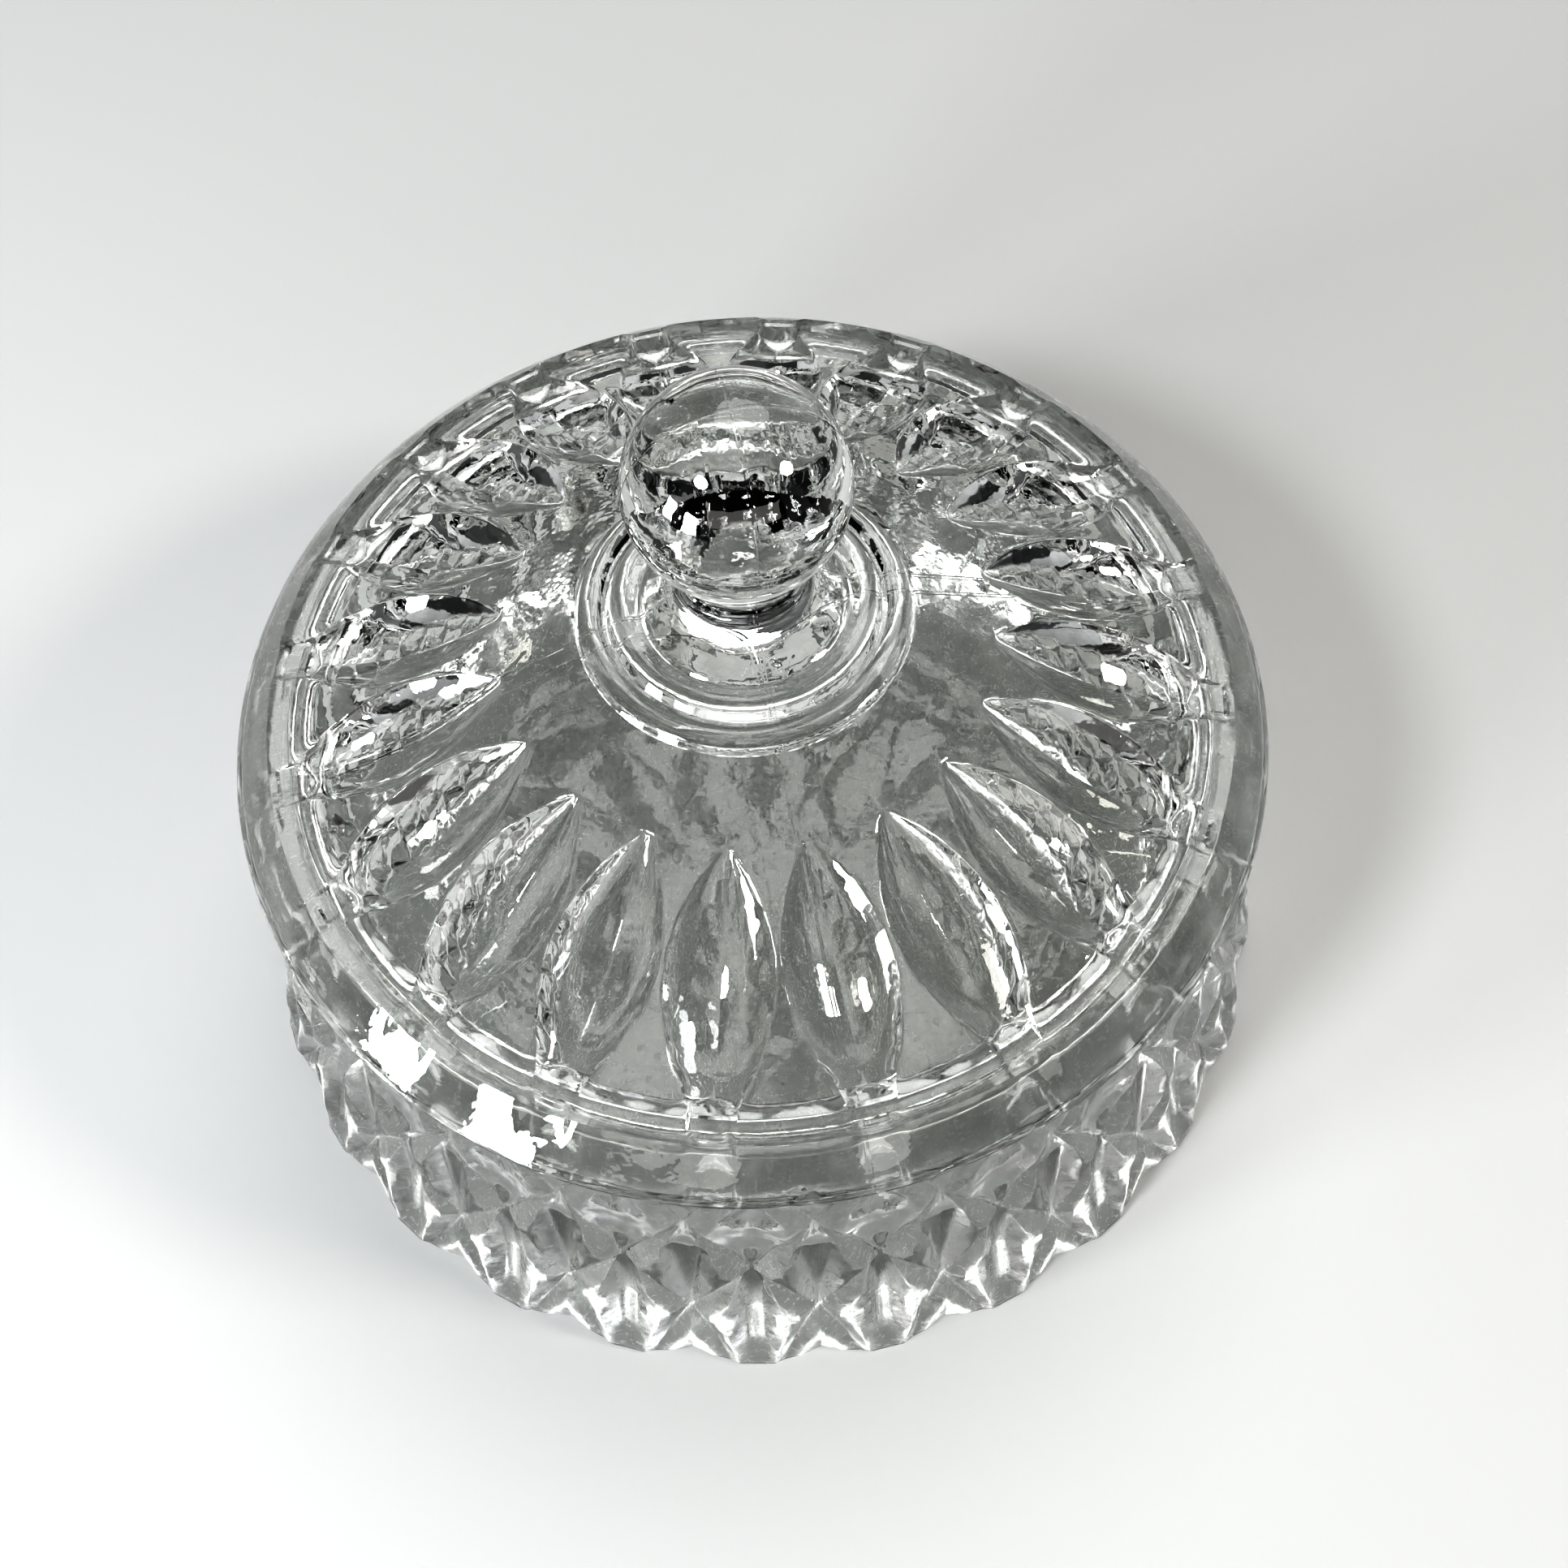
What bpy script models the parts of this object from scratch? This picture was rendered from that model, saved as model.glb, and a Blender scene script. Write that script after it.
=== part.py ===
"""Pressed-crystal powder jar: a diamond-cut bowl with a loose petal-cut lid and ball knob.

Two glass pieces. The bowl stands on its flat base. The lid sits on the bowl's ground top,
held central by a ring on its underside, and lifts straight off.
Lengths below are millimetres from the table top (z = 0); angles are degrees.
"""

import math

import bmesh
import bpy

MM = 0.001

# Bowl: overall shape
BOWL_TOP_Z = 47.7
BAND_FOOT_Z = 45.2
BAND_R = 63.4
BAND_RISE = 1.2
BASE_CHAMFER = 0.8
BOWL_TOP_CHAMFER = 0.6
MOUTH_R = 57.0
INNER_WALL_FOOT_R = 54.0
INNER_CORNER_R = 15.0
FLOOR_Z = 9.0
BOWL_ROUND_STEPS = 104

# Bowl: cut pattern. Upright cuts stand at every half repeat, slanting cuts cross at the nodes
BOWL_REPEATS = 26
BOWL_TURN = -3.9
NODE_LOW_Z = 13.0
NODE_MID_Z = 24.6
NODE_HIGH_Z = 36.2
NODE_TOP_Z = 47.8
NODE_UNDER_Z = -8.0
CUT_FLOOR = ((0.8, 69.1), (13.0, 67.5), (24.6, 65.8), (36.2, 63.6), (45.2, 61.9))
FOOT_LOBE = 1.5
UPRIGHT_CUT_HALF = 0.17
POINT_HEIGHT = 2.1
FOOT_RIDGE_HEIGHT = 0.7

# Lid: plate
LID_R = 65.0
SEAT_GAP = 0.3
LID_EDGE_Z = BOWL_TOP_Z + SEAT_GAP
LID_EDGE_CHAMFER = 0.6
LEDGE = ((59.9, 54.35), (57.4, 54.8))
PLATE_THICKNESS = 6.2
CONE = ((57.4, 54.8), (29.1, 66.8), (20.6, 70.5))

# Lid: petals
PETALS = 20
LID_TURN = -7.4
PETAL_DEPTH_RATIO = 0.52
PETAL_HALF_WIDTH = (
    (29.1, 0.0),
    (30.4, 1.15),
    (32.2, 2.45),
    (34.6, 3.85),
    (37.4, 5.05),
    (40.4, 5.9),
    (43.4, 6.25),
    (46.4, 6.15),
    (49.2, 5.6),
    (51.8, 4.75),
    (54.0, 3.6),
    (56.0, 2.95),
    (57.4, 2.75),
)
PETAL_REST_TURN = 2.6

# Lid: locating ring on the underside
RING_OUTER_R = 56.3
RING_INNER_R = 54.2
RING_FOOT_Z = 45.4
RING_CHAMFER = 0.5

# Knob
COLLAR = (
    (19.6, 70.95),
    (19.2, 71.55),
    (18.3, 72.0),
    (17.2, 72.1),
    (16.5, 71.75),
    (16.1, 71.9),
    (15.6, 72.7),
    (14.6, 73.25),
    (13.3, 73.35),
    (12.4, 73.0),
    (11.9, 73.2),
)
NECK = ((10.9, 74.2), (9.3, 75.5), (8.1, 77.1), (7.45, 79.0), (7.3, 80.8), (7.6, 82.4))
BALL_R = 12.6
BALL_Z = 93.8
BALL_BANDS = 13
KNOB_STEPS = 40

GLASS_TINT = (0.93, 0.96, 0.95, 1.0)
SMOOTH_BELOW = 12.5


def between(table, at):
    """The value of a table of (position, value) pairs at one position, straight between pairs."""
    ordered = sorted(table)
    if at <= ordered[0][0]:
        return ordered[0][1]
    for (x0, y0), (x1, y1) in zip(ordered, ordered[1:]):
        if at <= x1:
            return y0 + (y1 - y0) * (at - x0) / (x1 - x0)
    return ordered[-1][1]


def polar(radius, degrees, z):
    """A point at this turn from the front (-Y), growing towards +X."""
    angle = math.radians(degrees)
    return (radius * math.sin(angle) * MM, -radius * math.cos(angle) * MM, z * MM)


class Skin:
    """A closed surface gathered as shared points and triangles."""

    def __init__(self):
        self.mesh = bmesh.new()
        self.known = {}

    def point(self, co):
        key = tuple(round(c * 1e7) for c in co)
        if key not in self.known:
            self.known[key] = self.mesh.verts.new(co)
        return self.known[key]

    def triangle(self, a, b, c):
        if a is not b and b is not c and a is not c:
            self.mesh.faces.new((a, b, c))

    def fan(self, centre, rim, closed=False):
        ends = rim[1:] + rim[:1] if closed else rim[1:]
        for a, b in zip(rim, ends):
            self.triangle(centre, a, b)

    def ring(self, radius, z, steps, turn=0.0):
        return [self.point(polar(radius, turn + 360.0 * i / steps, z)) for i in range(steps)]

    def bridge(self, low, high):
        """Triangles between two rings; the second may hold as many points or half as many."""
        ratio = len(low) // len(high)
        for i, corner in enumerate(low):
            after = low[(i + 1) % len(low)]
            near = high[(i // ratio) % len(high)]
            far = high[(i // ratio + 1) % len(high)]
            if ratio == 1:
                self.triangle(corner, after, far)
                self.triangle(corner, far, near)
            elif i % 2 == 0:
                self.triangle(corner, after, near)
            else:
                self.triangle(corner, after, far)
                self.triangle(corner, far, near)

    def turned(self, profile, steps, turn=0.0, start=None):
        """Bridges rings along a profile of (radius, z) pairs and gives back the last ring."""
        last = start
        for radius, z in profile:
            here = self.ring(radius, z, steps, turn)
            if last is not None:
                self.bridge(last, here)
            last = here
        return last

    def finish(self, name, material, origin_z):
        """Makes the named object, with its origin on the jar's axis at this height."""
        bmesh.ops.recalc_face_normals(self.mesh, faces=self.mesh.faces)
        bmesh.ops.translate(self.mesh, verts=self.mesh.verts, vec=(0.0, 0.0, -origin_z * MM))
        data = bpy.data.meshes.new(name)
        self.mesh.to_mesh(data)
        self.mesh.free()
        data.shade_smooth()
        data.set_sharp_from_angle(angle=math.radians(SMOOTH_BELOW))
        data.materials.append(material)
        made = bpy.data.objects.new(name, data)
        made.location = (0.0, 0.0, origin_z * MM)
        bpy.context.scene.collection.objects.link(made)
        return made


def glass(name, roughness):
    made = bpy.data.materials.new(name)
    made.use_nodes = True
    shader = made.node_tree.nodes["Principled BSDF"]
    shader.inputs["Base Color"].default_value = GLASS_TINT
    shader.inputs["Roughness"].default_value = roughness
    shader.inputs["IOR"].default_value = 1.54
    shader.inputs["Transmission Weight"].default_value = 1.0
    return made


def arc(centre_r, centre_z, radius, start, end, steps):
    """Profile points on an arc, angles in degrees from straight outwards."""
    points = []
    for i in range(steps + 1):
        angle = math.radians(start + (end - start) * i / steps)
        points.append((centre_r + radius * math.cos(angle), centre_z + radius * math.sin(angle)))
    return points


def cut_wall(skin):
    """The cut outside of the bowl. Gives back its foot ring and its top ring."""
    columns = 2 * BOWL_REPEATS
    step = 360.0 / columns
    rim = UPRIGHT_CUT_HALF
    low_rise = (NODE_MID_Z - NODE_LOW_Z) * rim
    high_rise = (NODE_HIGH_Z - NODE_MID_Z) * rim
    under_fall = (NODE_LOW_Z - NODE_UNDER_Z) * rim
    foot_cross = (BASE_CHAMFER - NODE_UNDER_Z) / (NODE_LOW_Z - NODE_UNDER_Z)
    band_cross = (NODE_TOP_Z - BAND_FOOT_Z) / (NODE_TOP_Z - NODE_HIGH_Z)
    middle = (NODE_LOW_Z + NODE_HIGH_Z) / 2.0

    foot_ring = []
    top_ring = []
    for column in range(columns):
        flipped = column % 2 == 1

        def place(across, z, height=0.0):
            """A point of this column; across is 0 on the mid-node line and 1 on the other."""
            along = column + (1.0 - across if flipped else across)
            fade = max(0.0, 1.0 - z / NODE_LOW_Z)
            lobe = FOOT_LOBE * fade * (0.5 + 0.5 * math.cos(math.pi * along))
            radius = between(CUT_FLOOR, z) + lobe + height
            return skin.point(polar(radius, BOWL_TURN + step * along, z))

        mid = place(0.0, NODE_MID_Z)
        high = place(1.0, NODE_HIGH_Z)
        low = place(1.0, NODE_LOW_Z)
        mid_up = place(rim, NODE_MID_Z + high_rise)
        mid_down = place(rim, NODE_MID_Z - low_rise)
        high_down = place(1.0 - rim, NODE_HIGH_Z - high_rise)
        high_up = place(1.0 - rim, NODE_HIGH_Z + high_rise)
        low_up = place(1.0 - rim, NODE_LOW_Z + low_rise)
        low_down = place(1.0 - rim, NODE_LOW_Z - under_fall)
        foot = [
            place(0.0, BASE_CHAMFER),
            place(rim, BASE_CHAMFER),
            place((rim + foot_cross) / 2.0, BASE_CHAMFER, FOOT_RIDGE_HEIGHT),
            place(foot_cross, BASE_CHAMFER),
            place(1.0 - rim, BASE_CHAMFER),
            place(1.0, BASE_CHAMFER),
        ]
        top = [
            place(0.0, BAND_FOOT_Z),
            place(rim, BAND_FOOT_Z),
            place(band_cross, BAND_FOOT_Z),
            place(1.0 - rim, BAND_FOOT_Z),
            place(1.0, BAND_FOOT_Z),
        ]

        # Three points stand proud between the cuts
        skin.fan(place(0.5, middle, POINT_HEIGHT), [mid_up, mid_down, low_up, high_down], True)
        skin.fan(
            place(0.5, NODE_HIGH_Z, POINT_HEIGHT),
            [mid_up, high_down, high_up, top[2], top[1]],
            True,
        )
        skin.fan(
            place(0.5, NODE_LOW_Z - 1.0, POINT_HEIGHT),
            [mid_down, low_up, low_down, foot[3], foot[2], foot[1]],
            True,
        )
        # Flat corners under the band and above the foot
        skin.triangle(high_up, top[2], top[3])
        skin.triangle(low_down, foot[3], foot[4])
        # Floors of the two upright cuts
        skin.fan(mid, [foot[0], foot[1], mid_down, mid_up, top[1], top[0]])
        skin.fan(low, [foot[5], foot[4], low_down, low_up])
        skin.triangle(low, low_up, high_down)
        skin.triangle(low, high_down, high)
        skin.fan(high, [high_down, high_up, top[3], top[4]])

        foot_ring += foot[:0:-1] if flipped else foot[:-1]
        top_ring += top[:0:-1] if flipped else top[:-1]
    return foot_ring, top_ring


def make_bowl(material):
    skin = Skin()
    foot_ring, top_ring = cut_wall(skin)

    base_ring = []
    for corner in foot_ring:
        radius = corner.co.xy.length
        inset = (radius - BASE_CHAMFER * MM) / radius
        base_ring.append(skin.point((corner.co.x * inset, corner.co.y * inset, 0.0)))
    skin.bridge(foot_ring, base_ring)
    skin.fan(skin.point((0.0, 0.0, 0.0)), base_ring, True)

    band_ring = []
    for corner in top_ring:
        scale = BAND_R * MM / corner.co.xy.length
        height = (BAND_FOOT_Z + BAND_RISE) * MM
        band_ring.append(skin.point((corner.co.x * scale, corner.co.y * scale, height)))
    skin.bridge(top_ring, band_ring)

    profile = [
        (BAND_R, BOWL_TOP_Z - BOWL_TOP_CHAMFER),
        (BAND_R - BOWL_TOP_CHAMFER, BOWL_TOP_Z),
        (MOUTH_R + BOWL_TOP_CHAMFER, BOWL_TOP_Z),
        (MOUTH_R, BOWL_TOP_Z - BOWL_TOP_CHAMFER),
    ]
    profile += arc(
        INNER_WALL_FOOT_R - INNER_CORNER_R,
        FLOOR_Z + INNER_CORNER_R,
        INNER_CORNER_R,
        0.0,
        -90.0,
        8,
    )
    inside = skin.turned(profile, BOWL_ROUND_STEPS, BOWL_TURN, band_ring)
    skin.fan(skin.point((0.0, 0.0, FLOOR_Z * MM)), inside, True)
    return skin.finish("bowl", material, 0.0)


def petal_ring(skin, radius, surface, half_width, floor_drop):
    """One ring across all the petals: crease, edge, gap and edge again, twenty times."""
    edge_turn = PETAL_REST_TURN
    if half_width > 0.0:
        edge_turn = math.degrees(math.asin(half_width / radius))
    points = []
    for petal in range(PETALS):
        middle = LID_TURN + 360.0 * petal / PETALS
        points.append(skin.point(polar(radius, middle, surface - floor_drop)))
        points.append(skin.point(polar(radius, middle + edge_turn, surface)))
        points.append(skin.point(polar(radius, middle + 180.0 / PETALS, surface)))
        points.append(skin.point(polar(radius, middle - edge_turn + 360.0 / PETALS, surface)))
    return points


def join_petal_rings(skin, outer, inner):
    """Triangles between two petal rings, laid so that each petal runs out to a clean point."""
    count = len(outer)
    for i in range(count):
        after = (i + 1) % count
        if i % 4 in (0, 1):
            skin.triangle(outer[i], outer[after], inner[i])
            skin.triangle(outer[after], inner[after], inner[i])
        else:
            skin.triangle(outer[i], outer[after], inner[after])
            skin.triangle(outer[i], inner[after], inner[i])


def make_lid(material):
    skin = Skin()
    round_steps = 4 * PETALS

    # Underside, from the middle out to the seat and up over the shoulder
    cone_foot_r = RING_INNER_R - 0.8
    under = [
        (8.0, between(CONE, 20.6) - PLATE_THICKNESS + 3.6),
        (15.0, between(CONE, 20.6) - PLATE_THICKNESS + 2.1),
        (20.6, between(CONE, 20.6) - PLATE_THICKNESS),
        (29.1, between(CONE, 29.1) - PLATE_THICKNESS),
        (cone_foot_r, between(CONE, cone_foot_r) - PLATE_THICKNESS),
        (RING_INNER_R, RING_FOOT_Z + RING_CHAMFER),
        (RING_INNER_R + RING_CHAMFER, RING_FOOT_Z),
        (RING_OUTER_R - RING_CHAMFER, RING_FOOT_Z),
        (RING_OUTER_R, RING_FOOT_Z + RING_CHAMFER),
        (RING_OUTER_R, LID_EDGE_Z),
    ]
    inner_seat = skin.turned(under, KNOB_STEPS, LID_TURN)
    crown = skin.ring(under[0][0], under[0][1], KNOB_STEPS, LID_TURN)
    skin.fan(skin.point((0.0, 0.0, (under[0][1] + 0.7) * MM)), crown, True)

    outer_seat = skin.ring(LID_R - LID_EDGE_CHAMFER, LID_EDGE_Z, round_steps, LID_TURN)
    skin.bridge(outer_seat, inner_seat)
    side = [(LID_R, LID_EDGE_Z + LID_EDGE_CHAMFER)]
    bevel_foot = skin.turned(side, round_steps, LID_TURN, outer_seat)

    # Bevel and ledge, then the petals in to their points. No petal is cut below the ledge
    last = petal_ring(skin, *LEDGE[0], 0.0, 0.0)
    skin.bridge(bevel_foot, last)
    for radius, half in PETAL_HALF_WIDTH[::-1]:
        surface = between(CONE, radius)
        drop = min(half * PETAL_DEPTH_RATIO, surface - LEDGE[1][1])
        here = petal_ring(skin, radius, surface, half, drop)
        join_petal_rings(skin, last, here)
        last = here
    for radius in (26.0, 20.6):
        here = petal_ring(skin, radius, between(CONE, radius), 0.0, 0.0)
        join_petal_rings(skin, last, here)
        last = here

    # Collar, neck and ball
    base = skin.ring(COLLAR[0][0], COLLAR[0][1], KNOB_STEPS, LID_TURN)
    skin.bridge(last, base)
    neck = skin.turned(COLLAR[1:] + NECK, KNOB_STEPS, LID_TURN, base)
    joint = math.degrees(math.asin(NECK[-1][0] / BALL_R))
    ball = arc(0.0, BALL_Z, BALL_R, joint - 90.0, 83.0, BALL_BANDS)
    crown = skin.turned(ball, KNOB_STEPS, LID_TURN, neck)
    skin.fan(skin.point((0.0, 0.0, (BALL_Z + BALL_R) * MM)), crown, True)
    return skin.finish("lid", material, LID_EDGE_Z)


def clear_scene():
    for old in list(bpy.data.objects):
        bpy.data.objects.remove(old, do_unlink=True)


clear_scene()
make_bowl(glass("bowl_crystal", 0.02))
make_lid(glass("lid_crystal", 0.01))
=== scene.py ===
"""Cut-crystal powder jar: a diamond-cut bowl and a loose petal-cut lid with a ball knob.

Both pieces are turned blanks whose cuts are worked out point by point. Their lengths are
millimetres and their heights start at the table top. Finishes, floor and lights are in metres.
Turns are degrees from the front (-Y), growing towards +X.
"""

import math

import bpy
import numpy as np
from mathutils import Matrix, Vector


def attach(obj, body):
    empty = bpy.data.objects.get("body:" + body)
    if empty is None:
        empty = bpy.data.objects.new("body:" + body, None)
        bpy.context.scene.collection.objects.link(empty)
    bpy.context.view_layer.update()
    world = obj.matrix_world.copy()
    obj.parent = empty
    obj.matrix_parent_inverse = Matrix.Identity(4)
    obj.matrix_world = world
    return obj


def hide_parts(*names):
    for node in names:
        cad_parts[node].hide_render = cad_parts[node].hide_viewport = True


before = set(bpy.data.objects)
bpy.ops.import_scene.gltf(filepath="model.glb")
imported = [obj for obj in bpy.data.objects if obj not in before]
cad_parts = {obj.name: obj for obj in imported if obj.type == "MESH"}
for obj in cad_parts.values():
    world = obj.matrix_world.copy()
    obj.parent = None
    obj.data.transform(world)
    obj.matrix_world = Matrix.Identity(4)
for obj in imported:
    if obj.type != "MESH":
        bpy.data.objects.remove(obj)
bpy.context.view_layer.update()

MM = 0.001

# Bowl: the turned blank
BOWL_TOP_Z = 47.7
BAND_R = 63.4
BAND_FOOT_Z = 45.2
BAND_LIP_Z = 46.4
LIP_ROUND = 0.7
MOUTH_R = 57.0
INNER_FOOT_R = 54.0
INNER_CORNER_R = 15.0
FLOOR_Z = 9.0
BASE_CHAMFER = 0.8

# Bowl: its cuts cross at nodes on five levels, the lowest and the highest of them off the glass
REPEATS = 26
BOWL_TURN = -3.9
LOW_Z = 13.0
MID_Z = 24.6
HIGH_Z = 36.2
TOP_Z = 47.8
UNDER_Z = -8.0
CUT_FLOOR_Z = (BASE_CHAMFER, LOW_Z, MID_Z, HIGH_Z, BAND_FOOT_Z)
CUT_FLOOR_R = (68.6, 66.9, 65.2, 63.1, 61.7)
WALL_MIDDLE_R = 65.5
FACET_SLOPE = 0.92
PLATEAU = 1.6
CREASE_ROUND = 0.12
RIDGE_ROUND = 0.12

# Bowl: hollow cuts. Their half widths are shares of the half repeat
UPRIGHT_HALF = 0.15
UPRIGHT_POINT = 3.0
KITE_HALF = 0.23
KITE_SHOULDER = 6.3
FLUTE_HOLLOW = 0.5
LEAST_HALF = 0.01
LENS_HALF = 0.55
LENS_HOLLOW = 1.3

# Bowl: scalloped foot
FOOT_LOBE = 2.2
FOOT_NOSE = 0.78
FOOT_NOSE_ROUND = 0.1
FOOT_PLAIN_Z = 5.0
FOOT_STAND = 0.9

# Lid: rim, ledge and cone
LID_R = 65.0
LID_EDGE_Z = 48.0
EDGE_ROUND = 0.5
LEDGE_IN_R = 57.4
LEDGE_IN_Z = 54.8
LEDGE_OUT_R = 59.9
LEDGE_OUT_Z = 54.35
LEDGE_ROUND = 0.25
BEVEL_FOOT_Z = 48.7
PLATE_THICKNESS = 6.2
COLLAR_FOOT_R = 20.6
PETAL_TIP_R = 29.1
CONE_R = (COLLAR_FOOT_R, PETAL_TIP_R, LEDGE_IN_R, 62.3)
CONE_Z = (70.5, 66.8, LEDGE_IN_Z, 52.72)

# Lid: petals, each ending in a round-headed arch on the ledge
PETALS = 20
PETAL_PITCH = 360.0 / PETALS
LID_TURN = -7.4
PETAL_SLOPE = 0.66
PETAL_SCOOP = 0.52
PETAL_SCOOP_POWER = 3.0
PETAL_R = (PETAL_TIP_R, 30.4, 32.2, 34.6, 37.4, 40.4, 43.4, 46.4, 49.2, 51.8, 54.0, 56.0, 57.6)
PETAL_HALF = (0.0, 1.15, 2.45, 3.85, 5.05, 5.9, 6.25, 6.15, 5.6, 4.75, 3.6, 2.95, 2.75)
PETAL_END_R = 58.7
PETAL_RUN_IN = 0.9
LEAST_PETAL_HALF = 0.3
LEAST_SCOOP_HALF = 0.6
ARCH_HALF = 2.9
ARCH_REACH = 2.5
ARCH_STEEP = 1.3
ARCH_DIP = 0.6
PETAL_CREASE_ROUND = 0.1
PETAL_EDGE_ROUND = 0.1
PETAL_REST_TURN = 2.6

# Lid: locating ring underneath, and knob
RING_OUTER_R = 56.3
RING_INNER_R = 54.2
RING_FOOT_Z = 45.4
RING_ROUND = 0.8
BALL_R = 12.6
BALL_Z = 93.8
BALL_CROWN = 86.0
BALL_STEPS = 44
NECK_TOP_R = 7.6

# Both: small rounds take this many steps, and edges that bend further than this stay sharp
ROUND_STEPS = 4
SHARP_ABOVE = 24.0


def soft_positive(x, rounding):
    """x above zero and nothing below, turning over a rounded corner."""
    return 0.5 * (x + np.sqrt(x * x + rounding * rounding))


def blunt(x, rounding):
    """The size of x, with a rounded bottom in place of the sharp one."""
    return np.sqrt(x * x + rounding * rounding) - rounding


def soft_least(a, b, rounding):
    """The lesser of the two, with a rounded corner where they meet."""
    return 0.5 * (a + b - np.sqrt((a - b) ** 2 + rounding * rounding))


def arc(centre_r, centre_z, radius, start, end, steps):
    """Profile points on an arc, angles in degrees from straight outwards."""
    angles = np.radians(np.linspace(start, end, steps + 1))
    return [
        (centre_r + radius * math.cos(angle), centre_z + radius * math.sin(angle))
        for angle in angles
    ]


class Blank:
    """A closed piece of glass built as rings of points, each joined to the one before."""

    def __init__(self):
        self.points = []
        self.faces = []
        self.count = 0
        self.last = None

    def ring(self, radius, turn, z):
        """Adds one ring. Its turns are an array, and its radii and heights numbers or arrays."""
        angle = np.radians(turn)
        co = np.empty((len(angle), 3))
        co[:, 0] = radius * np.sin(angle)
        co[:, 1] = -radius * np.cos(angle)
        co[:, 2] = z
        here = np.arange(self.count, self.count + len(angle))
        self.points.append(co * MM)
        self.count += len(angle)
        if self.last is not None:
            self.join(self.last, here)
        self.last = here

    def join(self, low, high):
        """Fills between two rings, of which one may hold a whole number of times the points."""
        if len(low) == len(high):
            quads = np.stack([low, np.roll(low, -1), np.roll(high, -1), high], axis=1)
            self.faces += quads.tolist()
            return
        coarse, fine = (low, high) if len(low) < len(high) else (high, low)
        ratio = len(fine) // len(coarse)
        for i, corner in enumerate(coarse):
            after = coarse[(i + 1) % len(coarse)]
            run = [fine[(i * ratio + k) % len(fine)] for k in range(ratio + 1)]
            middle = ratio // 2
            near = [(run[k], run[k + 1], corner) for k in range(middle)]
            far = [(run[k], run[k + 1], after) for k in range(middle, ratio)]
            made = near + [(run[middle], after, corner)] + far
            if coarse is low:
                made = [face[::-1] for face in made]
            self.faces += [[int(k) for k in face] for face in made]

    def cap(self, z, upward):
        """Closes the last ring with a point on the axis."""
        self.points.append(np.array([[0.0, 0.0, z * MM]]))
        centre = self.count
        self.count += 1
        ends = np.roll(self.last, -1)
        for a, b in zip(self.last.tolist(), ends.tolist()):
            self.faces.append([centre, a, b] if upward else [centre, b, a])

    def finish(self, name, sharp):
        """Makes the named piece, smooth but for the edges that bend more than this angle."""
        data = bpy.data.meshes.new(name)
        data.from_pydata(np.concatenate(self.points), [], self.faces)
        data.validate()
        data.shade_smooth()
        data.set_sharp_from_angle(angle=math.radians(sharp))
        made = bpy.data.objects.new(name, data)
        bpy.context.scene.collection.objects.link(made)
        return made


# Bowl: each half repeat runs from an A line (across 0), where slanting cuts cross at MID_Z,
# to a B line (across 1), where they cross at HIGH_Z and at LOW_Z

HALF_REPEAT = 360.0 / (2 * REPEATS)
COLUMN_WIDTH = math.radians(HALF_REPEAT) * WALL_MIDDLE_R
SLANT_RISE = HIGH_Z - MID_Z
FOOT_RISE = LOW_Z - UNDER_Z
SLANT_FACTOR = SLANT_RISE / math.hypot(SLANT_RISE, COLUMN_WIDTH)
FOOT_FACTOR = FOOT_RISE / math.hypot(FOOT_RISE, COLUMN_WIDTH)


def slants(z):
    """Where the four slanting cuts stand at this height, and how steeply each runs."""
    return (
        ((MID_Z - z) / SLANT_RISE, SLANT_FACTOR),
        ((z - MID_Z) / SLANT_RISE, SLANT_FACTOR),
        ((TOP_Z - z) / SLANT_RISE, SLANT_FACTOR),
        ((z - UNDER_Z) / FOOT_RISE, FOOT_FACTOR),
    )


def slant_here(z):
    """The one slanting cut that crosses the half repeat at this height."""
    lines = slants(z)
    if z < LOW_Z:
        return lines[3]
    if z < MID_Z:
        return lines[0]
    if z < HIGH_Z:
        return lines[1]
    return lines[2]


def upright_half(z):
    """Half the width of the hollow upright on each A line, as a share of the half repeat."""
    return UPRIGHT_HALF * math.sqrt(min(max((MID_Z - z) / UPRIGHT_POINT, 0.0), 1.0))


def kite_half(z):
    """Half the width of the hollow kite on each B line, which hangs from its upper crossing."""
    shoulder = (HIGH_Z - z) / KITE_SHOULDER
    tail = (z - LOW_Z) / (HIGH_Z - LOW_Z - KITE_SHOULDER)
    return KITE_HALF * min(max(min(shoulder, tail), 0.0), 1.0)


def hollow(share, half):
    """A round-bottomed hollow across a cut of this half width."""
    inside = np.clip(1.0 - (share / max(half, LEAST_HALF)) ** 2, 0.0, 1.0)
    return FLUTE_HOLLOW * (half / KITE_HALF) * inside


def lens_depth(z):
    """Depth of the lens on each A line, greatest half way between the crossing and the band."""
    if z < MID_Z:
        return 0.0
    along = (z - MID_Z) / (BAND_FOOT_Z - MID_Z)
    return LENS_HOLLOW * math.sin(math.pi * min(along, 1.0))


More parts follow.
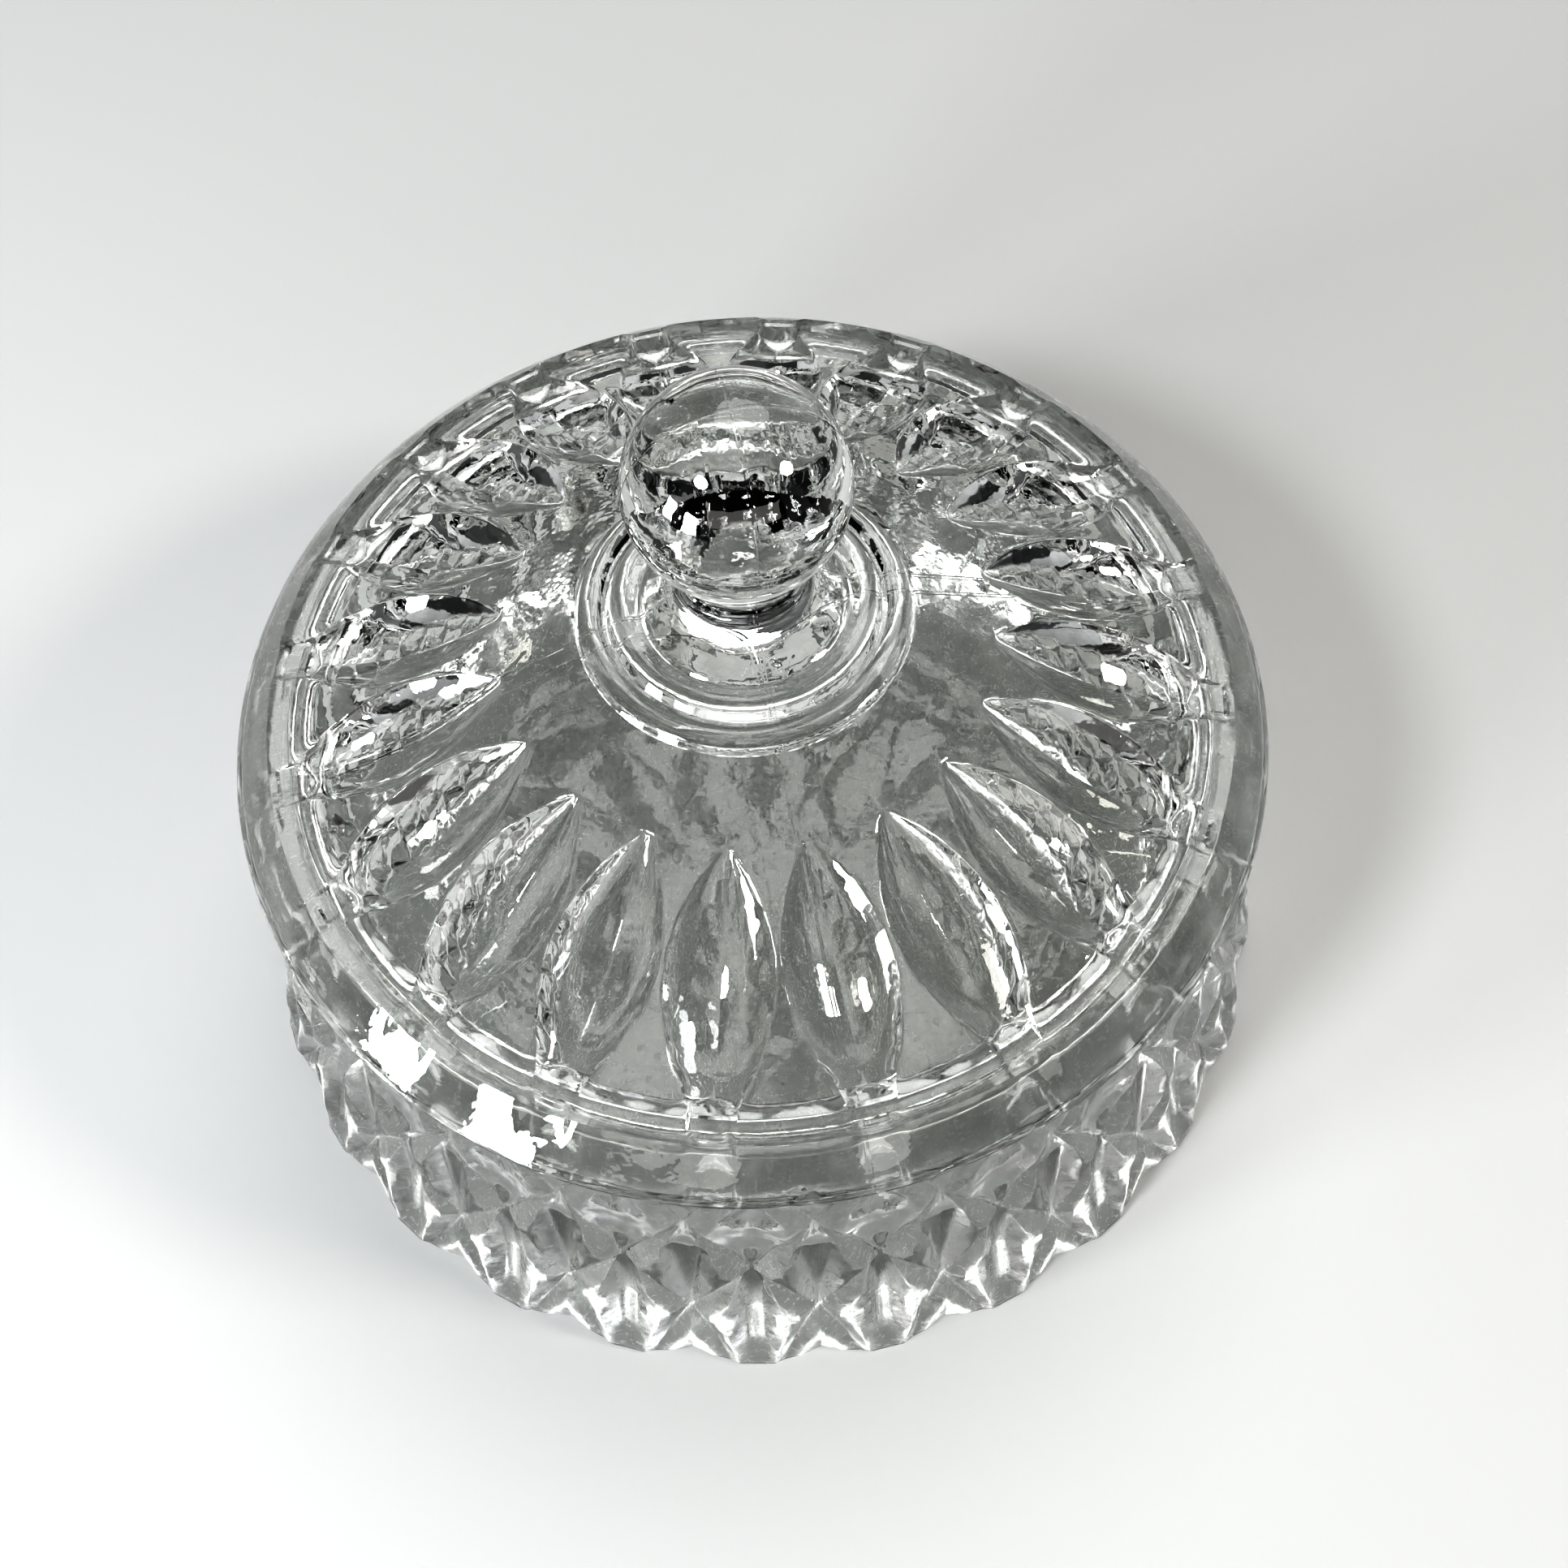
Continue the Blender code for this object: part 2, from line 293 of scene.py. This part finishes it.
def wall_height(across, z):
    """How far the cut wall stands out from the bottoms of its cuts."""
    upright = upright_half(z)
    kite = kite_half(z)
    height = np.full_like(across, PLATEAU / FACET_SLOPE)
    if z < MID_Z:
        near = soft_positive((across - upright) * COLUMN_WIDTH, CREASE_ROUND)
        height = soft_least(height, near, RIDGE_ROUND)
    if LOW_Z < z < HIGH_Z:
        far = soft_positive((1.0 - kite - across) * COLUMN_WIDTH, CREASE_ROUND)
        height = soft_least(height, far, RIDGE_ROUND)
    for line, factor in slants(z):
        away = blunt((across - line) * COLUMN_WIDTH * factor, CREASE_ROUND)
        height = soft_least(height, away, RIDGE_ROUND)
    lens = np.clip(1.0 - (across / LENS_HALF) ** 2, 0.0, 1.0) * lens_depth(z)
    return FACET_SLOPE * height - hollow(across, upright) - hollow(1.0 - across, kite) - lens


# Points stand at these shares of each run between stops, and the stops keep a margin apart
STOP_MARGIN = 0.06
RUN_SHARES = (0.0, 0.12, 0.5, 0.88)


def wall_turns(z):
    """Points across one whole repeat at this height, gathered at its creases and ridges."""
    line, factor = slant_here(z)
    near = max(upright_half(z), STOP_MARGIN)
    far = 1.0 - max(kite_half(z), STOP_MARGIN)
    line = min(max(line, near + STOP_MARGIN), far - STOP_MARGIN)
    reach = PLATEAU / (FACET_SLOPE * COLUMN_WIDTH * factor)
    left = (near + factor * line) / (1.0 + factor)
    if z >= MID_Z:
        left = max(line - reach, 0.5 * (near + line))
    right = (far + factor * line) / (1.0 + factor)
    if not LOW_Z < z < HIGH_Z:
        right = min(line + reach, 0.5 * (far + line))
    stops = [0.0, near, left, line, right, far, 1.0]
    half = []
    for start, end in zip(stops, stops[1:]):
        half += [start + (end - start) * share for share in RUN_SHARES]
    half = np.array(half)
    return np.concatenate([half, [1.0], 2.0 - half[:0:-1]])


def wall_ring(z):
    """Radii and turns of the cut wall at this height."""
    along = np.concatenate([wall_turns(z) + 2.0 * k for k in range(REPEATS)])
    folded = np.abs((along + 1.0) % 2.0 - 1.0)
    fade = max(0.0, 1.0 - z / LOW_Z)
    lobe = FOOT_LOBE * fade * soft_least((1.0 - folded) / FOOT_NOSE, 1.0, FOOT_NOSE_ROUND)
    rise = min(z / FOOT_PLAIN_Z, 1.0)
    floor = np.interp(z, CUT_FLOOR_Z, CUT_FLOOR_R)
    radius = floor + lobe + wall_height(folded, z) * rise + FOOT_STAND * (1.0 - rise)
    return radius, BOWL_TURN + HALF_REPEAT * along


BASE_MIDDLE_R = 20.0
FOOT_INSET = 3.0
FOOT_SHARES = (0.25, 0.6)
BAND_SHARES = (0.35, 0.7, 1.0)
CREASE_ROW = 0.18
ROWS_BETWEEN_LEVELS = (15, 15, 15, 12)
WALL_ROWS_INSIDE = 12
CORNER_STEPS = 16
FLOOR_R = (32.0, 16.0)


def wall_rows():
    """Heights of the wall's rings, with one close under each level where cuts cross."""
    rows = []
    for start, end, steps in zip(CUT_FLOOR_Z, CUT_FLOOR_Z[1:], ROWS_BETWEEN_LEVELS):
        rows += np.linspace(start, end, steps, endpoint=False).tolist()
        rows += [end - CREASE_ROW]
    return sorted(set(rows)) + [BAND_FOOT_Z]


def bowl_inside():
    """Profile of the rounded mouth, the inner wall and the floor."""
    lip_z = BOWL_TOP_Z - LIP_ROUND
    corner_z = FLOOR_Z + INNER_CORNER_R
    inside = arc(MOUTH_R + LIP_ROUND, lip_z, LIP_ROUND, 90.0, 180.0, ROUND_STEPS)
    for share in np.linspace(0.08, 0.95, WALL_ROWS_INSIDE):
        radius = MOUTH_R + (INNER_FOOT_R - MOUTH_R) * share
        inside.append((radius, lip_z + (corner_z - lip_z) * share))
    corner_r = INNER_FOOT_R - INNER_CORNER_R
    inside += arc(corner_r, corner_z, INNER_CORNER_R, 0.0, -90.0, CORNER_STEPS)
    return inside + [(r, FLOOR_Z) for r in FLOOR_R]


def make_bowl():
    """The bowl, from the middle of its base out, up the cut wall and down inside."""
    blank = Blank()
    radius, turn = wall_ring(BASE_CHAMFER)
    blank.ring(BASE_MIDDLE_R, BOWL_TURN + np.arange(2 * REPEATS) * HALF_REPEAT, 0.0)
    blank.cap(0.0, False)
    blank.ring(radius - FOOT_INSET, turn, 0.0)
    blank.ring(radius - BASE_CHAMFER, turn, 0.0)
    for share in FOOT_SHARES:
        inset = BASE_CHAMFER * (1.0 - share) ** 2
        blank.ring(radius - inset, turn, BASE_CHAMFER * share)
    for z in wall_rows():
        radius, turn = wall_ring(z)
        blank.ring(radius, turn, z)
    for share in BAND_SHARES:
        swell = share * share * (3.0 - 2.0 * share)
        level = BAND_FOOT_Z + (BAND_LIP_Z - BAND_FOOT_Z) * share
        blank.ring(radius + (BAND_R - radius) * swell, turn, level)
    lip_r = BAND_R - LIP_ROUND
    lip_z = BOWL_TOP_Z - LIP_ROUND
    for r, z in arc(lip_r, lip_z, LIP_ROUND, 0.0, 90.0, ROUND_STEPS):
        blank.ring(r, turn, z)
    plain = BOWL_TURN + np.arange(8 * REPEATS) * HALF_REPEAT / 4.0
    for r, z in bowl_inside():
        blank.ring(r, plain, z)
    blank.cap(FLOOR_Z, True)
    return blank.finish("crystal_bowl", SHARP_ABOVE)


# Lid: rings of the cut top hold one run of points for each petal and each gap

# A petal narrower than the least half width leaves its ring's points at rest
PETAL_STEPS = (0.0, 0.06, 0.15, 0.3, 0.45, 0.6, 0.75, 0.87, 0.95)
GAP_STEPS = (0.0, 0.08, 0.25, 0.6)


def petal_turns(radius, half):
    """Points across one petal and one gap, gathered at the crease and at the petal's edges."""
    edge = PETAL_REST_TURN
    if half > LEAST_PETAL_HALF:
        edge = math.degrees(math.asin(half / radius))
    middle = PETAL_PITCH / 2.0
    side = [edge * share for share in PETAL_STEPS]
    side += [edge + (middle - edge) * share for share in GAP_STEPS]
    side = np.array(side)
    return np.concatenate([side, [middle], PETAL_PITCH - side[:0:-1]])


def all_round(turn):
    """The turns of one petal and gap, repeated round the lid."""
    return LID_TURN + np.concatenate([turn + PETAL_PITCH * k for k in range(PETALS)])


def off_middle(radius, turn):
    """How far each point of one petal and gap lies from the nearer petal's middle line."""
    return radius * np.sin(np.radians(np.minimum(turn, PETAL_PITCH - turn)))


LEDGE_FALL = (LEDGE_OUT_Z - LEDGE_IN_Z) / (LEDGE_OUT_R - LEDGE_IN_R)


def petal_half(radius):
    """Half the width of a petal's cut at this radius."""
    return float(np.interp(radius, PETAL_R, PETAL_HALF)) if radius < PETAL_END_R else 0.0


def petal_depth(half, across):
    """Depth of the scooped sides of a petal, steep at its edges and easy at its crease."""
    inwards = soft_positive(half - blunt(across, PETAL_CREASE_ROUND), PETAL_EDGE_ROUND)
    share = np.clip(inwards / max(half, LEAST_SCOOP_HALF), 0.0, 1.0)
    scoop = 1.0 - (1.0 - share) ** PETAL_SCOOP_POWER
    return PETAL_SLOPE * half * (PETAL_SCOOP * scoop + (1.0 - PETAL_SCOOP) * share)


def end_arch(across):
    """The round-headed arch where a petal's outer end meets the ledge, 1 along its middle."""
    return np.sqrt(np.clip(1.0 - (across / ARCH_HALF) ** 2, 0.0, 1.0))


def lid_ring(radius):
    """Turns and heights of one ring of the lid's cut top."""
    half = petal_half(radius)
    turn = petal_turns(radius, half)
    across = off_middle(radius, turn)
    surface = np.interp(radius, CONE_R, CONE_Z)
    depth = petal_depth(half, across)
    depth *= min(max((radius - PETAL_TIP_R) / PETAL_RUN_IN, 0.0), 1.0)
    arch = end_arch(across)
    ledge = LEDGE_IN_Z + (radius - LEDGE_IN_R) * LEDGE_FALL - ARCH_DIP * arch
    ledge = ledge - ARCH_STEEP * np.clip(LEDGE_IN_R - ARCH_REACH * arch - radius, 0.0, None)
    height = -soft_least(depth - surface, -ledge, LEDGE_ROUND)
    return all_round(turn), np.tile(height, PETALS)


CROWN_Z = CONE_Z[0] - PLATE_THICKNESS
CROWN_R = (4.0, 8.0, 12.0, 16.0)
CROWN_RISE = (2.4, 2.4, 2.3, 1.7)
UNDER_CONE_ROWS = 16
RING_WALL_RISE = 0.9
SEAT_ROUND = 0.3
BEVEL_R = 60.0
BEVEL_SHARES = (0.06, 0.25, 0.45, 0.62, 0.76, 0.87, 0.96)
BEVEL_PLAIN_SHARE = 0.45
BEVEL_DIP_SHARE = 0.5
LEDGE_ROWS = (59.85, 59.6, 59.3, 58.9, 58.5, 58.1, 57.8, 57.5)
COLLAR_ROWS = (27.0, 25.0, 23.0, 21.6)
COLLAR = (
    (20.6, 70.45), (20.0, 70.6), (19.7, 71.0), (19.4, 71.5), (18.8, 71.9), (18.0, 72.1),
    (17.2, 72.0), (16.7, 71.7), (16.3, 71.7), (16.0, 72.0), (15.7, 72.6), (15.1, 73.1),
    (14.3, 73.35), (13.4, 73.3), (12.8, 73.0), (12.3, 72.95), (11.8, 73.25),
)
NECK = (
    (11.3, 73.75), (10.6, 74.4), (9.8, 75.1), (9.1, 75.8), (8.5, 76.5), (8.05, 77.3),
    (7.7, 78.2), (7.45, 79.2), (7.3, 80.3), (7.3, 81.2), (7.4, 82.0),
)


def lid_underside():
    """Profile from the flat crown out under the cone, round the locating ring and to the seat."""
    under = [(radius, CROWN_Z + rise) for radius, rise in zip(CROWN_R, CROWN_RISE)]
    for radius in np.linspace(COLLAR_FOOT_R, RING_INNER_R - RING_ROUND, UNDER_CONE_ROWS):
        under.append((radius, np.interp(radius, CONE_R, CONE_Z) - PLATE_THICKNESS))
    under += [(RING_INNER_R, RING_FOOT_Z + RING_WALL_RISE)]
    ring_z = RING_FOOT_Z + RING_ROUND
    under += arc(RING_INNER_R + RING_ROUND, ring_z, RING_ROUND, -180.0, -90.0, ROUND_STEPS)
    under += arc(RING_OUTER_R - RING_ROUND, ring_z, RING_ROUND, -90.0, 0.0, ROUND_STEPS)
    under += [(RING_OUTER_R, LID_EDGE_Z - SEAT_ROUND)]
    return under + [(RING_OUTER_R + SEAT_ROUND, LID_EDGE_Z)]


def lid_rim(blank):
    """The rounded edge and the sloping band, which dips in at its top to meet each arch."""
    rest = petal_turns(BEVEL_R, 0.0)
    around = all_round(rest)
    edge_z = LID_EDGE_Z + EDGE_ROUND
    for r, z in arc(LID_R - EDGE_ROUND, edge_z, EDGE_ROUND, -90.0, 20.0, ROUND_STEPS):
        blank.ring(r, around, z)
    arches = np.tile(end_arch(off_middle(BEVEL_R, rest)), PETALS)
    for share in BEVEL_SHARES:
        radius = LID_R + (LEDGE_OUT_R - LID_R) * share
        level = BEVEL_FOOT_Z + (LEDGE_OUT_Z - BEVEL_FOOT_Z) * share
        fade = min(max((share - BEVEL_PLAIN_SHARE) / BEVEL_DIP_SHARE, 0.0), 1.0)
        blank.ring(radius, around, level - ARCH_DIP * fade * arches)


def make_lid():
    """The lid, from the middle of its underside out, over the rim and up to the ball's crown."""
    blank = Blank()
    columns = len(petal_turns(BEVEL_R, 0.0)) * PETALS
    plain = LID_TURN + np.arange(columns // 4) * 4.0 * 360.0 / columns
    under = lid_underside()
    blank.ring(under[0][0], plain, under[0][1])
    blank.cap(under[0][1], False)
    for r, z in under[1:]:
        blank.ring(r, plain, z)
    lid_rim(blank)
    rows = list(LEDGE_ROWS) + np.linspace(57.3, 54.1, 17).tolist()
    rows += np.linspace(53.8, 33.0, 50).tolist() + np.linspace(32.6, PETAL_TIP_R, 14).tolist()
    for radius in rows + list(COLLAR_ROWS):
        turn, height = lid_ring(radius)
        blank.ring(radius, turn, height)
    joint = math.degrees(math.asin(NECK_TOP_R / BALL_R))
    ball = arc(0.0, BALL_Z, BALL_R, joint - 90.0, BALL_CROWN, BALL_STEPS)
    for r, z in list(COLLAR) + list(NECK) + ball:
        blank.ring(r, plain, z)
    blank.cap(BALL_Z + BALL_R, True)
    return blank.finish("crystal_lid", SHARP_ABOVE)


# Finishes


class Signal:
    """One value in a finish. Arithmetic on it adds Math nodes."""

    def __init__(self, finish, socket):
        self.finish = finish
        self.socket = socket

    def math(self, operation, first, second):
        return self.finish.node("ShaderNodeMath", {"operation": operation}, {0: first, 1: second})

    def absolute(self):
        return self.math("ABSOLUTE", self, 0.0)

    def sine(self):
        return self.math("SINE", self, 0.0)

    def beside(self, name):
        """Another output of the same node."""
        return Signal(self.finish, self.socket.node.outputs[name])

    def __add__(self, other):
        return self.math("ADD", self, other)

    def __radd__(self, other):
        return self.math("ADD", other, self)

    def __sub__(self, other):
        return self.math("SUBTRACT", self, other)

    def __rsub__(self, other):
        return self.math("SUBTRACT", other, self)

    def __mul__(self, other):
        return self.math("MULTIPLY", self, other)

    def __rmul__(self, other):
        return self.math("MULTIPLY", other, self)


# A colour mix shares its sockets' names with other kinds of mix, so these go by number
MIX_FACTOR = 0
MIX_FROM = 6
MIX_TO = 7
MIX_COLOUR = 2


class Finish:
    """The node tree of a material, or of the studio's surroundings, under construction."""

    def __init__(self, owner):
        owner.use_nodes = True
        self.owner = owner
        self.tree = owner.node_tree
        self.tree.nodes.clear()

    def node(self, kind, settings=None, sockets=None, output=0):
        """Adds one node: its settings first, then the values or signals of its sockets.

        Gives back the signal of one output, or nothing from a node that has none.
        """
        made = self.tree.nodes.new(kind)
        for key, value in (settings or {}).items():
            setattr(made, key, value)
        for key, value in (sockets or {}).items():
            if isinstance(value, Signal):
                self.tree.links.new(value.socket, made.inputs[key])
            else:
                made.inputs[key].default_value = value
        return Signal(self, made.outputs[output]) if made.outputs else None

    def noise(self, where, scale, detail=2.0, rough=0.5):
        """Even noise, with this many features in a metre."""
        return self.node(
            "ShaderNodeTexNoise",
            {},
            {"Vector": where, "Scale": scale, "Detail": detail, "Roughness": rough},
        )

    def mix(self, factor, start, end):
        """A colour between two, by this factor."""
        return self.node(
            "ShaderNodeMix",
            {"data_type": "RGBA"},
            {MIX_FACTOR: factor, MIX_FROM: start, MIX_TO: end},
            MIX_COLOUR,
        )

    def span(self, value, low, high, to_low=0.0, to_high=1.0):
        """Maps low to to_low and high to to_high, and holds both beyond their ends."""
        return self.node(
            "ShaderNodeMapRange",
            {"clamp": True},
            {
                "Value": value,
                "From Min": low,
                "From Max": high,
                "To Min": to_low,
                "To Max": to_high,
            },
        )


# Mould seams stand on two planes through the axis. These widths are in metres
SEAM_TURN = math.radians(9.0)
SEAM_HALF = 0.00012
SEAM_EDGE = 0.00028

# Features in a metre, for each kind of unevenness
CLOUD_SCALE = 30.0
PATCH_SCALE = 45.0
SMEAR_SCALE = 60.0
WAVE_SCALE = 90.0
RIPPLE_SCALE = 420.0
WEAR_SCALE = 900.0
HAIR_SCALE = 2600.0

RUB_RELIEF = 0.03
RUB_DULLNESS = 0.06
WEAR_DULLNESS = 0.28
CLEAR = (0.975, 0.98, 0.968, 1.0)
CLOUDED = (0.955, 0.963, 0.945, 1.0)
CRYSTAL_IOR = 1.54


def crystal(name, seed, worn_low, worn_high):
    """Clear pressed crystal: fire-polished waviness, mould seams, hairline rubs, a worn seat.

    The wear is full up to the height worn_low and gone above worn_high, both in metres.
    """
    finish = Finish(bpy.data.materials.new(name))
    where = finish.node("ShaderNodeTexCoord", {}, {}, "Object")
    east = finish.node("ShaderNodeSeparateXYZ", {}, {0: where})
    north = east.beside("Y")
    up = east.beside("Z")
    moved = finish.node(
        "ShaderNodeVectorMath", {"operation": "ADD"}, {0: where, 1: (seed, 0.3 * seed, 0.0)}
    )
    drawn = finish.node(
        "ShaderNodeVectorMath", {"operation": "MULTIPLY"}, {0: moved, 1: (1.0, 0.05, 0.3)}
    )

    along = east * math.cos(SEAM_TURN) + north * math.sin(SEAM_TURN)
    cross = east * math.sin(SEAM_TURN) - north * math.cos(SEAM_TURN)
    nearest = along.math("MINIMUM", along.absolute(), cross.absolute())
    seam = finish.span(nearest, SEAM_HALF, SEAM_EDGE, 1.0, 0.0)

    waves = finish.noise(moved, WAVE_SCALE, 1.0)
    ripple = finish.noise(moved, RIPPLE_SCALE, 2.0)
    hairs = finish.span(finish.noise(drawn, HAIR_SCALE, 1.0), 0.66, 0.72)
    patches = finish.span(finish.noise(moved, PATCH_SCALE, 2.0), 0.48, 0.62)
    rubs = hairs * patches
    grain = finish.span(finish.noise(moved, WEAR_SCALE, 3.0, 0.7), 0.4, 0.6, 0.35, 1.0)
    wear = finish.span(up, worn_low, worn_high, 1.0, 0.0) * grain

    swell = finish.node(
        "ShaderNodeBump", {}, {"Height": waves, "Strength": 0.28, "Distance": 0.0006}
    )
    skin = finish.node(
        "ShaderNodeBump",
        {},
        {"Height": ripple, "Strength": 0.4, "Distance": 0.0001, "Normal": swell},
    )
    marked = finish.node(
        "ShaderNodeBump",
        {},
        {
            "Height": seam + RUB_RELIEF * rubs,
            "Strength": 0.5,
            "Distance": 0.00006,
            "Normal": skin,
        },
    )
    smear = finish.span(finish.noise(moved, SMEAR_SCALE, 4.0, 0.6), 0.5, 0.85, 0.0, 0.03)
    rough = smear + RUB_DULLNESS * rubs + WEAR_DULLNESS * wear
    cloud = finish.span(finish.noise(moved, CLOUD_SCALE, 2.0), 0.35, 0.65)
    tint = finish.mix(cloud, CLEAR, CLOUDED)
    glass = finish.node(
        "ShaderNodeBsdfPrincipled",
        {},
        {
            "Base Color": tint,
            "Roughness": rough,
            "IOR": CRYSTAL_IOR,
            "Transmission Weight": 1.0,
            "Normal": marked,
        },
    )
    finish.node("ShaderNodeOutputMaterial", {}, {"Surface": glass})
    return finish.owner


bowl = make_bowl()
bowl.data.materials.append(crystal("crystal_bowl", 1.0, 0.0001, 0.0012))
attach(bowl, "bowl")
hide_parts("bowl")

lid = make_lid()
lid.data.materials.append(crystal("crystal_lid", 2.0, 0.0455, 0.0484))
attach(lid, "lid")
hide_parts("lid")


# Table, light and camera

FLOOR_GREY = (0.44, 0.44, 0.435, 1.0)
FLOOR_HALF = 3.0
FLOOR_DROP = 0.0002
JAR_MIDDLE_Z = 0.05


def pale_floor():
    """A plain pale table top, just under the jar's foot."""
    finish = Finish(bpy.data.materials.new("pale_floor"))
    paint = finish.node(
        "ShaderNodeBsdfPrincipled",
        {},
        {"Base Color": FLOOR_GREY, "Roughness": 0.85},
    )
    finish.node("ShaderNodeOutputMaterial", {}, {"Surface": paint})
    data = bpy.data.meshes.new("floor")
    signs = ((-1.0, -1.0), (1.0, -1.0), (1.0, 1.0), (-1.0, 1.0))
    corners = [(FLOOR_HALF * x, FLOOR_HALF * y, -FLOOR_DROP) for x, y in signs]
    data.from_pydata(corners, [], [(0, 1, 2, 3)])
    data.materials.append(finish.owner)
    floor = bpy.data.objects.new("floor", data)
    bpy.context.scene.collection.objects.link(floor)


def direction(turn, elevation):
    """The way from the jar at this turn from the front and this angle above the table."""
    around = math.radians(turn)
    up = math.radians(elevation)
    level = math.cos(up)
    return Vector((math.sin(around) * level, -math.cos(around) * level, math.sin(up)))


def soft_light(name, turn, elevation, distance, width, height, watts, tint, round_face=False):
    """A soft light at this distance from the jar, facing its middle. Sizes are in metres."""
    away = direction(turn, elevation)
    data = bpy.data.lights.new(name, "AREA")
    data.shape = "ELLIPSE" if round_face else "RECTANGLE"
    data.size = width
    data.size_y = height
    data.energy = watts
    data.color = tint
    made = bpy.data.objects.new(name, data)
    made.location = Vector((0.0, 0.0, JAR_MIDDLE_Z)) + away * distance
    made.rotation_euler = (-away).to_track_quat("-Z", "Y").to_euler()
    bpy.context.scene.collection.objects.link(made)


WALL_GLOW = 0.03
PANEL_GLOW = 0.5
CEILING_GLOW = 0.13
BACKDROP_GLOW = 0.4
UNLIT = (0.0, 0.0, 0.0, 1.0)
LIT = (0.97, 0.985, 1.0, 1.0)

# Two sets of panels round the room, a narrow one and a weaker broad one
NARROW_PANELS = 9.0
NARROW_START = 1.2
BROAD_PANELS = 4.0
BROAD_START = -0.7
BROAD_SHARE = 0.7


def studio_surroundings():
    """A dim room whose walls carry paler upright panels, which the cuts pick up as streaks.

    Looked at straight, and not by way of the glass, its walls are plain and pale.
    """
    world = bpy.data.worlds.new("studio")
    bpy.context.scene.world = world
    room = Finish(world)
    toward = room.node("ShaderNodeTexCoord", {}, {}, "Generated")
    east = room.node("ShaderNodeSeparateXYZ", {}, {0: toward})
    around = east.math("ARCTAN2", east, east.beside("Y"))
    narrow = (around * NARROW_PANELS + NARROW_START).sine()
    broad = (around * BROAD_PANELS + BROAD_START).sine()
    panels = room.span(narrow + BROAD_SHARE * broad, 0.1, 0.35)
    low = room.span(east.beside("Z"), 0.05, 0.75, 1.0, 0.0)
    high = room.span(east.beside("Z"), 0.4, 0.9)
    glow = WALL_GLOW + panels * low * PANEL_GLOW + high * CEILING_GLOW
    seen = room.node("ShaderNodeLightPath", {}, {}, "Is Camera Ray")
    glow = glow * (1.0 - seen) + BACKDROP_GLOW * seen
    colour = room.mix(glow, UNLIT, LIT)
    back = room.node("ShaderNodeBackground", {}, {"Color": colour, "Strength": 1.0})
    room.node("ShaderNodeOutputWorld", {}, {"Surface": back})


def sky_panel(turn, elevation, strength, spread):
    """Broad even light from high behind the jar, which lights the whole floor alike."""
    data = bpy.data.lights.new("sky_panel", "SUN")
    data.energy = strength
    data.angle = math.radians(spread)
    made = bpy.data.objects.new("sky_panel", data)
    made.rotation_euler = (-direction(turn, elevation)).to_track_quat("-Z", "Y").to_euler()
    bpy.context.scene.collection.objects.link(made)


EYE_DISTANCE = 242.6357143
EYE_HEIGHT = math.radians(58.12)
EYE_PAN = math.radians(0.825)
EYE_TILT = math.radians(-2.883)
EYE_ROLL = math.radians(-3.776)
AIM_Z = 52.93
LENS = 44.51


def place_camera():
    """A camera held over the front of the jar, aimed a little off its axis and slightly rolled."""
    centre = Vector((0.0, 0.0, AIM_Z))
    eye = centre + EYE_DISTANCE * Vector((0.0, -math.cos(EYE_HEIGHT), math.sin(EYE_HEIGHT)))
    forward = (centre - eye).normalized()
    right = Vector((1.0, 0.0, 0.0))
    up = right.cross(forward)
    ahead = (
        forward * math.cos(EYE_PAN) * math.cos(EYE_TILT)
        + right * math.sin(EYE_PAN) * math.cos(EYE_TILT)
        + up * math.sin(EYE_TILT)
    )
    side = ahead.cross(up).normalized()
    top = side.cross(ahead)
    level = side * math.cos(EYE_ROLL) + top * math.sin(EYE_ROLL)
    rise = top * math.cos(EYE_ROLL) - side * math.sin(EYE_ROLL)
    data = bpy.data.cameras.new("camera")
    data.sensor_width = 36.0
    data.lens = LENS
    data.clip_start = 0.01
    made = bpy.data.objects.new("camera", data)
    turn = Matrix((level, rise, -ahead)).transposed().to_4x4()
    made.matrix_world = Matrix.Translation(eye * MM) @ turn
    bpy.context.scene.collection.objects.link(made)
    bpy.context.scene.camera = made


pale_floor()
studio_surroundings()
soft_light("window_left", -66.0, 9.0, 0.9, 0.18, 0.30, 6.0, (0.93, 0.97, 1.0))
soft_light("window_right", -45.0, 8.0, 0.9, 0.18, 0.30, 6.0, (0.93, 0.97, 1.0))
soft_light("high_left", -51.0, 47.0, 0.9, 0.20, 0.16, 3.6, (0.95, 0.98, 1.0), round_face=True)
soft_light("high_right", 74.0, 41.0, 0.9, 0.20, 0.16, 3.0, (1.0, 0.97, 0.92), round_face=True)
soft_light("front_fill", 6.0, 22.0, 1.4, 1.9, 0.45, 6.0, (1.0, 0.98, 0.95))
sky_panel(165.0, 58.0, 1.2, 42.0)
place_camera()

# Light crosses many glass surfaces before it leaves the cuts
BOUNCES = 24
scene = bpy.context.scene
scene.cycles.max_bounces = BOUNCES
scene.cycles.transmission_bounces = BOUNCES
scene.cycles.transparent_max_bounces = BOUNCES
scene.view_settings.view_transform = "Standard"
scene.view_settings.look = "Very High Contrast"
scene.view_settings.exposure = -0.2
